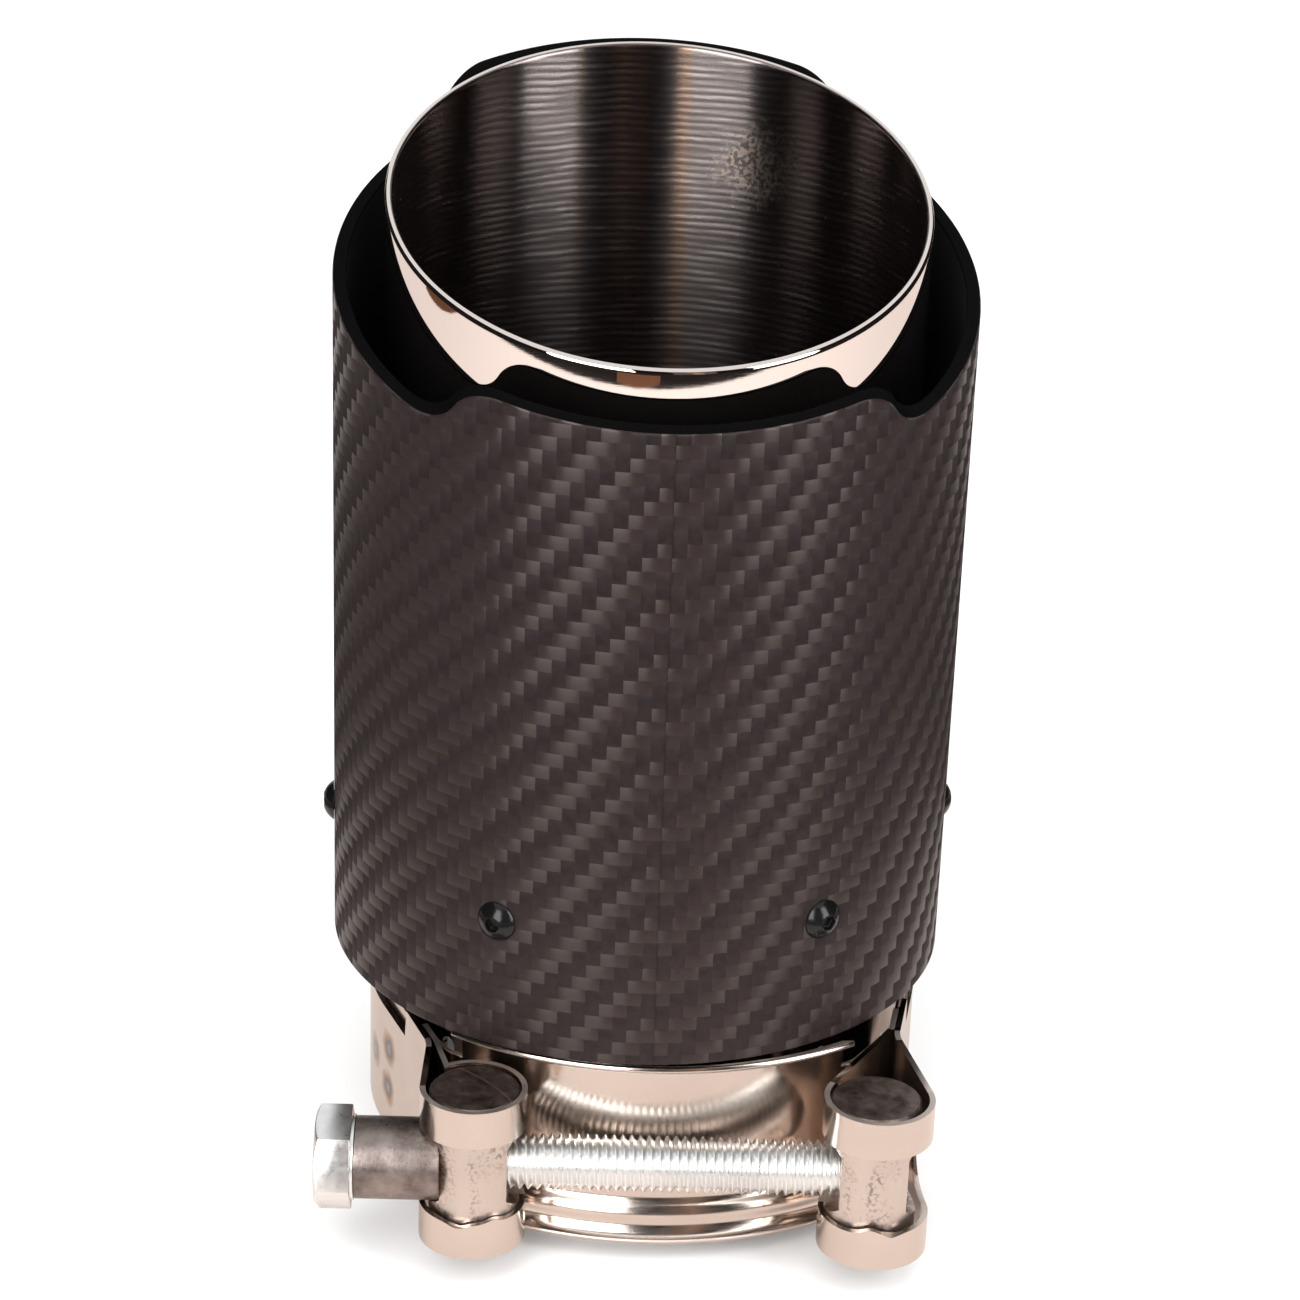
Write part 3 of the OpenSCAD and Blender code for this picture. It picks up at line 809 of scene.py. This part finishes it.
rightLoopR = pin["size"] / 2 + pin["rightPlay"] + band["sheet"] / 2
leftLoop = Vector((pin["leftX"] - pin["leftPlay"] + band["play"], -pin["front"]))
rightLoop = Vector((pin["rightX"] + pin["rightPlay"] - band["play"], -pin["front"]))


def polar(centre, radius, angle):
    return Vector(centre) + radius * Vector((cos(radians(angle)), sin(radians(angle))))


def leftOf(v):
    return Vector((-v.y, v.x))


def angleOf(v):
    return degrees(atan2(v.y, v.x))


def arc(centre, radius, start, end, step=5.0):
    count = max(1, ceil(abs(end - start) / step))
    return [polar(centre, radius, start + (end - start) * i / count) for i in range(count + 1)]


def corner(before, at, after, radius):
    # a rounded corner between two straight runs
    u = (at - before).normalized()
    v = (after - at).normalized()
    turn = angleOf(Vector((u.dot(v), leftOf(u).dot(v))))
    back = radius * tan(radians(abs(turn)) / 2)
    side = 1 if turn > 0 else -1
    start = angleOf(-side * leftOf(u))
    return arc(at - back * u + side * radius * leftOf(u), radius, start, start + turn, 9.0)


def tangentPoint(source, centre, radius, side):
    d = centre - source
    turn = degrees(asin(radius / d.length))
    return source + sqrt(d.length ** 2 - radius ** 2) * polar((0, 0), 1, angleOf(d) - side * turn)


def leftPath():
    leave = 180 + band["leftLeave"]
    d = Vector((sin(radians(band["leftLeave"])), -cos(radians(band["leftLeave"]))))
    inner = polar((bandX, 0), bandMid, leave)
    outer = polar((bandX, 0), foldMid, leave)
    far = inner + (band["leftStraight"] + band["leftFar"]) * d
    near = outer + (band["leftStraight"] + band["leftFar"]) * d
    root = polar(leftLoop, leftLoopR, band["rootAngle"])
    off = Vector((leftLoop.x - leftLoopR, leftLoop.y))
    neck = Vector((off.x, near.y)) + Vector(band["leftNeck"])
    loop = ([inner + (band["leftStraight"] - band["lap"]) * d] + corner(inner, far, root, band["bend"])
            + arc(leftLoop, leftLoopR, band["rootAngle"], -180)
            + corner(off, neck, near - band["neckRun"] * d, band["neckBend"])
            + [outer + (band["tailStart"] + band["tailLap"]) * d])
    tail = ([outer + band["tailStart"] * d]
            + arc((bandX, 0), foldMid, leave - band["tailTurn"], 180 - band["foldEnd"], 3.0))
    return loop, tail


def rightPath():
    leave = -band["rightLeave"]
    d = Vector((-sin(radians(band["rightLeave"])), -cos(radians(band["rightLeave"]))))
    inner = polar((bandX, 0), bandMid, leave)
    outer = polar((bandX, 0), foldMid, leave)
    far = inner + (band["rightStraight"] + band["rightFar"]) * d
    near = outer + (band["rightStraight"] + band["rightNear"]) * d
    on = tangentPoint(far, rightLoop, rightLoopR, 1)
    off = tangentPoint(near, rightLoop, rightLoopR, -1)
    loop = ([inner + (band["rightStraight"] - band["lap"]) * d] + corner(inner, far, on, band["bend"])
            + arc(rightLoop, rightLoopR, angleOf(on - rightLoop), angleOf(off - rightLoop) + 360)
            + corner(off, near, outer, band["neckBend"])
            + [outer + (band["tailStart"] + band["tailLap"]) * d])
    tail = ([outer + band["tailStart"] * d]
            + arc((bandX, 0), foldMid, leave + band["tailTurn"], band["foldEnd"], 3.0))
    return loop, tail


def ribbon(path, tall, tail=()):
    # an upright sheet along a path seen from above; its tail is narrower
    bm = bmesh.new()
    low = [(p, -tall / 2) for p in path] + [(p, band["tailLow"]) for p in tail]
    verts = [bm.verts.new(Vector((p.x, p.y, z)) * mm) for p, z in low]
    edges = [bm.edges.new(pair) for pair in zip(verts, verts[1:])]
    made = bmesh.ops.extrude_edge_only(bm, edges=edges)["geom"]
    for vert in madeVerts(made):
        vert.co.z = (tall / 2 if abs(vert.co.z + tall / 2 * mm) < 1e-6 else band["tailHigh"]) * mm
    bmesh.ops.recalc_face_normals(bm, faces=bm.faces)
    return bm


def bentEdge(radius, half, *bends):
    # from the flat part out to one edge, through each bend's radius and angle
    side = [Vector((radius, half))]
    tilt = 0
    for bend, turn in bends:
        steps = ceil(abs(turn) / 6)
        for step in range(steps):
            tilt += radians(turn) / steps
            lean = tilt - radians(turn) / steps / 2
            side.append(side[-1] + bend * radians(abs(turn)) / steps * Vector((sin(lean), cos(lean))))
    return side


def flaredSection(bm, radius, edges):
    # the section at azimuth 0: a flat part, with both edges bent away from the tube
    low, high = (bentEdge(radius, *edge) for edge in edges)
    points = [Vector((p.x, -p.y)) for p in reversed(low)] + high
    verts = [bm.verts.new((p.x * mm, 0, p.y * mm)) for p in points]
    return [bm.edges.new(pair) for pair in zip(verts, verts[1:])]


def flaredSheet(section, centre, radius, start, end, before=0.0, after=0.0, steps=64):
    bm = bmesh.new()
    first = flaredSection(bm, radius, section["edges"])
    bmesh.ops.rotate(bm, verts=bm.verts, matrix=Matrix.Rotation(radians(start), 3, "Z"))
    made = bmesh.ops.spin(bm, geom=first + bm.verts[:], cent=(0, 0, 0), axis=(0, 0, 1),
                          angle=radians(end - start), steps=steps, use_duplicate=False)
    last = [g for g in made["geom_last"] if isinstance(g, bmesh.types.BMEdge)]
    for edges, angle, length, way in ((first, start, before, -1), (last, end, after, 1)):
        if not length:
            continue
        made = bmesh.ops.extrude_edge_only(bm, edges=edges)["geom"]
        run = way * length * mm * Vector((-sin(radians(angle)), cos(radians(angle)), 0))
        bmesh.ops.translate(bm, verts=madeVerts(made), vec=run)
    bmesh.ops.translate(bm, verts=bm.verts, vec=(centre[0] * mm, centre[1] * mm, 0))
    bmesh.ops.recalc_face_normals(bm, faces=bm.faces)
    return bm


def windowCutters(centre, radius):
    # a slot for the bolt, open to the front, with its round end just behind the loop's middle
    hole = bmesh.new()
    bmesh.ops.create_cube(hole, size=1)
    bmesh.ops.scale(hole, verts=hole.verts, vec=(6 * radius * mm, (2 * radius + 1) * mm, band["window"] * mm))
    bmesh.ops.translate(hole, verts=hole.verts, vec=(centre.x * mm, (centre.y + 0.5 - radius) * mm, 0))
    end = rod(band["window"] / 2, centre.x - 3 * radius, centre.x + 3 * radius, axis="X",
              at=(0, centre.y + 1, 0), segments=64)
    return hole, end


def ragged(bm, centre, waves):
    # the lower edge of a strap's window isn't cut clean
    for vert in bm.verts:
        if abs(vert.co.z + band["window"] / 2 * mm) < 0.3 * mm:
            side = vert.co.x / mm - centre.x
            vert.co.z += sum(rise * 2.72 ** (-((side - at) / wide) ** 2) for at, wide, rise in waves) * mm
    return bm


def shearedEdges(bm):
    # the cut edges of the strip take a rougher finish painted lighter as a highlight, and those that face the
    # sleeve over the tails are painted shade
    for face in bm.faces:
        if abs(face.normal.z) > band["cutFacing"] and face.calc_area() < band["cutArea"] * mm ** 2:
            onTail = abs(face.calc_center_median().z - band["tailHigh"] * mm) < 0.1 * mm
            face.material_index = 2 if onTail else 1
    return bm


def toClamp(bm):
    bmesh.ops.transform(bm, verts=bm.verts, matrix=Matrix.Translation((0, 0, clampHeight * mm))
                        @ Matrix.Rotation(radians(clampTurn), 4, "Z"))
    return bm


def addBand():
    sheet = thickened(flaredSheet(band, (bandX, 0), bandMid, -band["rightLeave"], 180 + band["leftLeave"],
                                  before=band["rightStraight"], after=band["leftStraight"], steps=120),
                      band["sheet"])
    thin = band["sheet"] - band["thin"]
    straps = []
    for (loop, tail), centre, radius, waves in ((leftPath(), leftLoop, leftLoopR, band["leftWaves"]),
                                                (rightPath(), rightLoop, rightLoopR, band["rightWaves"])):
        strap = thickened(ribbon(loop, band["strapTall"], tail), thin)
        strap = cutAway(strap, *windowCutters(centre, radius))
        straps.append(ragged(strap, centre, waves))
    whole = toClamp(shearedEdges(joined(sheet, *straps)))
    addPiece("clampBand", whole, (bandSteel, shearedHighlightSteel, edgeShade), "band_steel", "clamp_band",
             soften=band["soft"], segments=3)


addBand()
print("clamp band made")

# Bridge
bridge = {
    "radius": 47, "front": 41.5, "x": 2.5, "half": 35.5,
    "tongueLong": 7, "tongueTurn": 21.5, "tongueTall": 18, "tongueStraight": 2.5, "tongueBend": 4,
    "edges": ((7.7, (2.8, 40), (2.8, -40), (3.2, 65)), (11.75, (1.2, 63), (150, 1))),
}


def addBridge():
    middle = bridge["radius"] - band["sheet"] / 2
    centre = (bridge["x"], bridge["radius"] - bridge["front"])
    sheet = flaredSheet(bridge, centre, middle, -90 - bridge["half"], -90 + bridge["half"], steps=48)
    sheet = thickened(sheet, band["sheet"])
    end = polar(centre, middle, -90 + bridge["half"])
    along = Vector((cos(radians(bridge["half"])), sin(radians(bridge["half"]))))
    knee = end + bridge["tongueStraight"] * along
    tip = knee + polar((0, 0), bridge["tongueLong"], bridge["half"] + bridge["tongueTurn"])
    path = [end - band["lap"] * along] + corner(end, knee, tip, bridge["tongueBend"]) + [tip]
    thin = band["sheet"] - band["thin"]
    tongues = [thickened(ribbon([Vector((centre[0] + side * (p.x - centre[0]), p.y)) for p in path],
                                bridge["tongueTall"]), thin) for side in (1, -1)]
    whole = toClamp(shearedEdges(joined(sheet, *tongues)))
    addPiece("clampBridge", whole, (bandSteel, shearedHighlightSteel), "band_steel", "clamp_bridge",
             soften=band["soft"], segments=3)


addBridge()
print("bridge made")

# Trunnions, bolt and spacer
bolt = {
    "size": 8, "long": 75, "pitch": 1.25, "play": 0.05, "depth": 0.72,
    "flats": 13, "headTall": 5.5, "headTurn": 11.7,
    "washer": 0.4, "washerIn": 0.5, "crownIn": 0.3, "edge": 0.15, "plain": 20, "turnSteps": 36,
    "headLap": 0.1, "threadLap": 0.5,
}
spacer = {"size": 11.6, "hole": 8.4, "long": 12, "edge": 0.25}
headX = pin["leftX"] - pin["seatOff"] - spacer["long"]


def addTrunnion(name, x, hole, node):
    half = pin["tall"] / 2
    bm = rod(pin["size"] / 2, -half, half, segments=128)
    rims = [e for e in bm.edges if abs(e.verts[0].co.z - e.verts[1].co.z) < 1e-7]
    bmesh.ops.bevel(bm, geom=rims, offset=pin["chamfer"] * mm, affect="EDGES", segments=1, profile=0.5,
                    material=-1)
    seats = [rod(pin["seatSize"] / 2, s0, s1, axis="X") for s0, s1 in
             ((pin["seatOff"], pin["size"]), (-pin["size"], -pin["seatOff"]))]
    bm = cutAway(bm, rod(hole / 2, -pin["size"], pin["size"], axis="X"), *seats)
    bmesh.ops.translate(bm, verts=bm.verts, vec=(x * mm, -pin["front"] * mm, 0))
    # the top faces take the darker copy of the steel, a painted reflection of the sleeve
    for face in bm.faces:
        if abs(face.normal.z) > 0.5 and abs(face.calc_center_median().z) > (half - 1) * mm:
            face.material_index = 1
    addPiece(name, toClamp(bm), (trunnionSteel, paintedTopReflection), "trunnion_steel", node,
             soften=pin["edge"], sharp=28)


def threadSurface(start, end):
    # one turn of the thread's outline, swept round the bolt as a helix
    pitch = bolt["pitch"]
    crest = bolt["size"] / 2 - bolt["play"]
    root = crest - bolt["depth"]
    turns = ceil((end - start) / pitch) + 2
    bm = bmesh.new()
    outline = ((0, root), (pitch / 8, root), (pitch / 2 - pitch / 16, crest), (pitch / 2 + pitch / 16, crest),
               (pitch, root))
    verts = [bm.verts.new(((start - pitch + x) * mm, 0, r * mm)) for x, r in outline]
    edges = [bm.edges.new(pair) for pair in zip(verts, verts[1:])]
    steps = turns * bolt["turnSteps"]
    bmesh.ops.spin(bm, geom=edges + verts, cent=(0, 0, 0), axis=(1, 0, 0),
                   dvec=(pitch / bolt["turnSteps"] * mm, 0, 0), angle=turns * 2 * pi, steps=steps,
                   use_duplicate=False)
    bmesh.ops.remove_doubles(bm, verts=bm.verts, dist=0.001 * mm)
    for x, outward in ((start, -1), (end, 1)):
        cut = bmesh.ops.bisect_plane(bm, geom=bm.verts[:] + bm.edges[:] + bm.faces[:], dist=1e-6 * mm,
                                     plane_co=(x * mm, 0, 0), plane_no=(outward, 0, 0), clear_outer=True)
        rim = [g for g in cut["geom_cut"] if isinstance(g, bmesh.types.BMEdge)]
        bmesh.ops.holes_fill(bm, edges=rim, sides=0)
    bmesh.ops.recalc_face_normals(bm, faces=bm.faces)
    return bm


def addBolt():
    head = bmesh.new()
    across = bolt["flats"] / sqrt(3)
    tall = bolt["headTall"] - bolt["washer"]
    bmesh.ops.create_cone(head, cap_ends=True, segments=6, radius1=across * mm, radius2=across * mm,
                          depth=tall * mm)
    bmesh.ops.rotate(head, verts=head.verts, matrix=Matrix.Rotation(radians(bolt["headTurn"]), 3, "Z"))
    # the crown: a cone trims the corners of the outer face
    crown = bmesh.new()
    flat = bolt["flats"] / 2 - bolt["crownIn"]
    bmesh.ops.create_cone(crown, cap_ends=True, segments=96, radius1=flat * mm,
                          radius2=(flat + 2 * tall) * mm, depth=tall * mm)
    item = tempObject(head)
    tool = tempObject(crown)
    trim = item.modifiers.new("crown", "BOOLEAN")
    trim.operation = "INTERSECT"
    trim.solver = "EXACT"
    trim.object = tool
    head = finished(item)
    bpy.data.objects.remove(tool)
    bmesh.ops.dissolve_limit(head, angle_limit=radians(1), verts=head.verts, edges=head.edges)
    rims = [e for e in head.edges if e.calc_face_angle(0) > radians(20)]
    bmesh.ops.bevel(head, geom=rims, offset=bolt["edge"] * mm, affect="EDGES", segments=2, profile=0.5,
                    material=-1)
    bmesh.ops.rotate(head, verts=head.verts, matrix=Matrix.Rotation(pi / 2, 3, "Y"))
    bmesh.ops.translate(head, verts=head.verts, vec=((headX - bolt["washer"] - tall / 2) * mm, 0, 0))
    washer = rod(bolt["flats"] / 2 - bolt["washerIn"], headX - bolt["washer"], headX, axis="X")
    shank = rod(bolt["size"] / 2 - bolt["play"], headX - bolt["headLap"], headX + bolt["plain"], axis="X")
    thread = threadSurface(headX + bolt["plain"] - bolt["threadLap"], headX + bolt["long"])
    whole = joined(head, washer, shank, thread)
    bmesh.ops.translate(whole, verts=whole.verts, vec=(0, -pin["front"] * mm, 0))
    addPiece("clampBolt", toClamp(whole), (zincSteel,), "zinc_steel", "clamp_bolt", sharp=24)


def addSpacer():
    bm = rod(spacer["size"] / 2, headX, headX + spacer["long"], axis="X", segments=96)
    bm = cutAway(bm, rod(spacer["hole"] / 2, headX - 1, headX + spacer["long"] + 1, axis="X"))
    bmesh.ops.translate(bm, verts=bm.verts, vec=(0, -pin["front"] * mm, 0))
    addPiece("boltSpacer", toClamp(bm), (spacerSteel,), "trunnion_steel", "bolt_spacer",
             soften=spacer["edge"], segments=3)


addTrunnion("plainTrunnion", pin["leftX"], pin["plainHole"], "plain_trunnion")
addTrunnion("threadedTrunnion", pin["rightX"], pin["threadHole"], "threaded_trunnion")
addBolt()
addSpacer()
print("bolt, spacer and trunnions made")

# Screws
screw = {
    "count": 6, "up": 19.6, "thread": 3, "long": 6, "head": 5.9, "headTall": 1.65,
    "socket": 2, "socketDeep": 1.05, "seat": 0.05, "domeSteps": 8, "edge": 0.08,
}


def addScrew(number):
    radius = screw["head"] / 2
    dome = (radius ** 2 + screw["headTall"] ** 2) / (2 * screw["headTall"])
    bm = bmesh.new()
    centre = screw["headTall"] - dome
    steps = screw["domeSteps"]
    angles = [radians(90) * t / steps + asin(-centre / dome) * (1 - t / steps) for t in range(steps + 1)]
    points = [Vector((0, -screw["long"])), Vector((screw["thread"] / 2, -screw["long"])),
              Vector((screw["thread"] / 2, 0))]
    points += [Vector((dome * cos(a), centre + dome * sin(a))) for a in angles]
    verts = [bm.verts.new((p.x * mm, 0, p.y * mm)) for p in points]
    edges = [bm.edges.new(pair) for pair in zip(verts, verts[1:])]
    bmesh.ops.spin(bm, geom=edges + verts, cent=(0, 0, 0), axis=(0, 0, 1), angle=2 * pi, steps=48,
                   use_merge=True, use_duplicate=False)
    bmesh.ops.remove_doubles(bm, verts=bm.verts, dist=0.001 * mm)
    bmesh.ops.recalc_face_normals(bm, faces=bm.faces)
    key = bmesh.new()
    bmesh.ops.create_cone(key, cap_ends=True, segments=6, radius1=screw["socket"] / sqrt(3) * mm,
                          radius2=screw["socket"] / sqrt(3) * mm, depth=2 * screw["socketDeep"] * mm)
    bmesh.ops.translate(key, verts=key.verts, vec=(0, 0, screw["headTall"] * mm))
    bm = cutAway(bm, key)
    azimuth = radians(-90 + (number - 0.5) * 360 / screw["count"])
    out = Matrix.Translation(((sleeve["radius"] + screw["seat"]) * mm, 0, 0))
    seat = out @ Matrix.Rotation(pi / 2, 4, "Y")
    lift = Matrix.Translation((0, 0, (sleeve["bottom"] + screw["up"]) * mm))
    bmesh.ops.transform(bm, verts=bm.verts, matrix=lift @ Matrix.Rotation(azimuth, 4, "Z") @ seat)
    addPiece("buttonScrew%d" % number, bm, (blackScrew,), "black_screw", "screw_%d" % number,
             soften=screw["edge"], sharp=40)


for number in range(1, screw["count"] + 1):
    addScrew(number)
print("screws made")

# Hidden steel
for name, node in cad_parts.items():
    if name == "mounting_ring" or name.startswith("weld_nut"):
        node.data.materials.clear()
        node.data.materials.append(blackSteel if name == "mounting_ring" else nutSteel)
print("hidden pieces finished")
